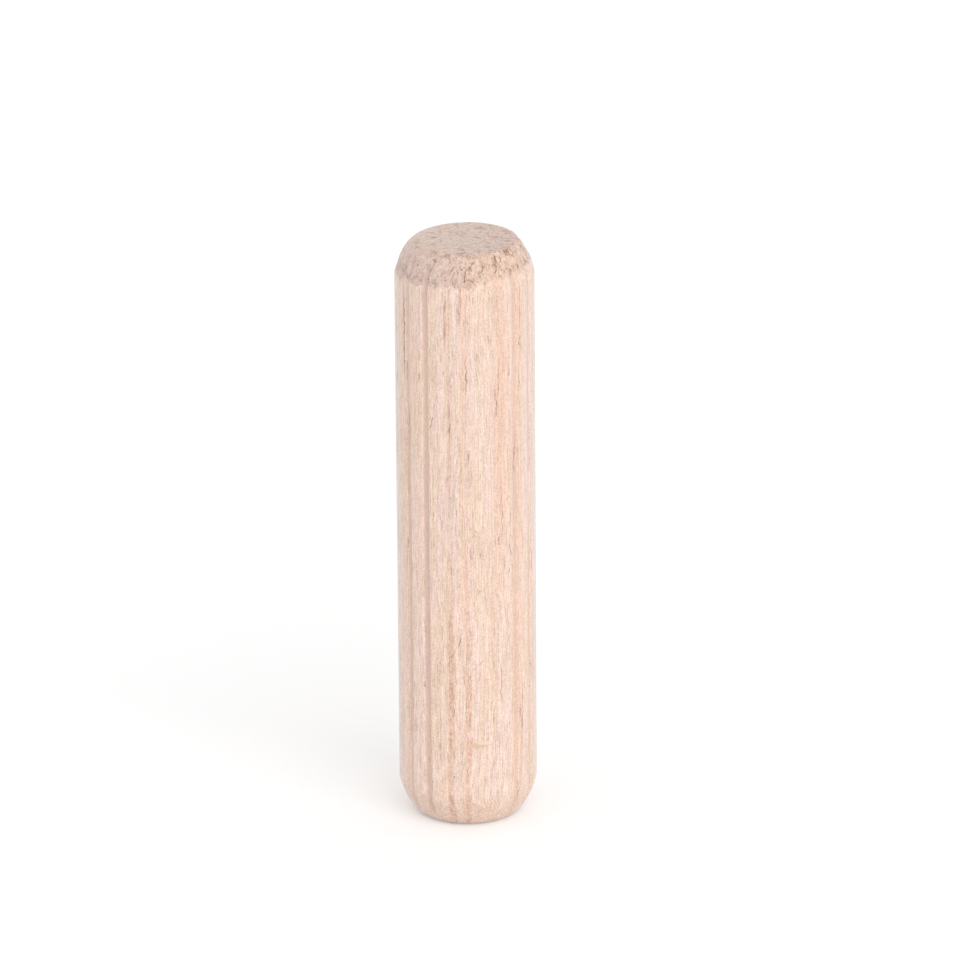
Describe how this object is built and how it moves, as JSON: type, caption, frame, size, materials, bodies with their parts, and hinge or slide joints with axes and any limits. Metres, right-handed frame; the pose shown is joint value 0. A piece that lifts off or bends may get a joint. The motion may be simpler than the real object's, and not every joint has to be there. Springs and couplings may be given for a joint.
{
  "type": "dowel pin",
  "caption": "Straight wooden dowel pin with lengthwise flutes and crowned ends, glued into matching holes to line up and join two boards.",
  "frame": {"origin": "middle of the end face that the pin stands on", "axes": "+Z along the pin's axis, from the end that it stands on to the other end; +X and +Y run across it"},
  "size_m": [0.008, 0.008, 0.035],
  "materials": {
    "wood": "matte"
  },
  "bodies": {
    "root": {"dowel_pin": "wood"}
  },
  "joints": []
}
